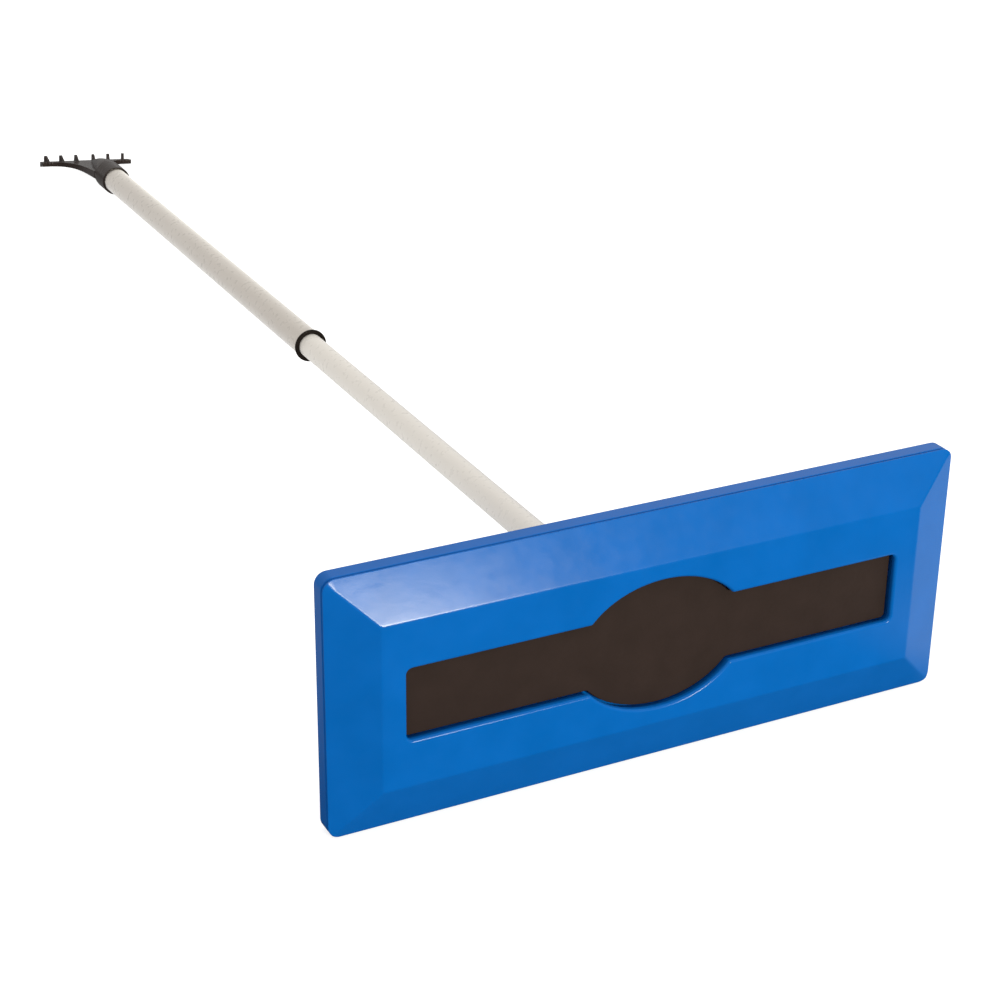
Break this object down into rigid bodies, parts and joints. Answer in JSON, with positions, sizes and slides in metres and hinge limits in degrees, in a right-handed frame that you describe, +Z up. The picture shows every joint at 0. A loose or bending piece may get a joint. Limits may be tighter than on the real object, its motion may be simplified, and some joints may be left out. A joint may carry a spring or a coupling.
{
  "type": "roof snow rake",
  "caption": "Snow rake for vehicle roofs: bevelled foam block with a stiffener plate, telescoping twist-lock pole and a toothed ice scraper on the far end.",
  "frame": {"origin": "centre of the floor under the whole tool as it stands on the edge of its head and on its scraper", "axes": "+Y along the floor from the head to the scraper, +Z up, X across the head; the pole slopes down towards the scraper by about 3.4 degrees"},
  "size_m": [0.457, 1.246, 0.1794],
  "materials": {
    "blue_foam": "satin",
    "dark_plate": "matte",
    "black_plastic": "satin",
    "coated_tube": "gloss",
    "pale_nylon": "satin",
    "spring_steel": "satin",
    "zinc_steel": "satin"
  },
  "bodies": {
    "head": {"foam_head": "blue_foam", "insert_plate": "dark_plate", "head_socket": "black_plastic", "socket_washer_1": "zinc_steel", "socket_screw_1": "zinc_steel", "socket_washer_2": "zinc_steel", "socket_screw_2": "zinc_steel", "socket_washer_3": "zinc_steel", "socket_screw_3": "zinc_steel", "socket_washer_4": "zinc_steel", "socket_screw_4": "zinc_steel", "inner_tube": "coated_tube", "snap_spring": "spring_steel", "lock_plug": "black_plastic", "lock_spindle": "zinc_steel", "spindle_washer": "zinc_steel", "spindle_nut": "zinc_steel"},
    "button": {"snap_button": "zinc_steel"},
    "lock_sleeve": {"expander_sleeve": "pale_nylon"},
    "lock_cone": {"cone_nut": "black_plastic"},
    "outer_pole": {"outer_tube": "coated_tube", "tube_bushing": "black_plastic", "scraper": "black_plastic", "scraper_screw": "zinc_steel"}
  },
  "joints": [
    {"name": "pole_twist", "type": "hinge", "parent": "head", "child": "lock_sleeve", "pos_m": [0, 0.00429, 0.05372], "axis": [0, 0.9982, -0.0594], "range_deg": [0, 180]},
    {"name": "telescope", "type": "slide", "parent": "lock_sleeve", "child": "outer_pole", "axis": [0, 0.9982, -0.0594], "range_m": [-0.483, 0]},
    {"name": "cone_travel", "type": "slide", "parent": "lock_sleeve", "child": "lock_cone", "axis": [0, 0.9982, -0.0594], "range_m": [0, 0.002]},
    {"name": "snap_press", "type": "slide", "parent": "head", "child": "button", "axis": [0, 0.0594, 0.9982], "range_m": [-0.0046, 0], "stiffness_N_per_m": 900, "springref_m": 0.001, "deforming": ["snap_spring"]}
  ],
  "couplings": [
    {"joint": "cone_travel", "follows": "pole_twist", "m_per_rad": 0.00063661}
  ]
}
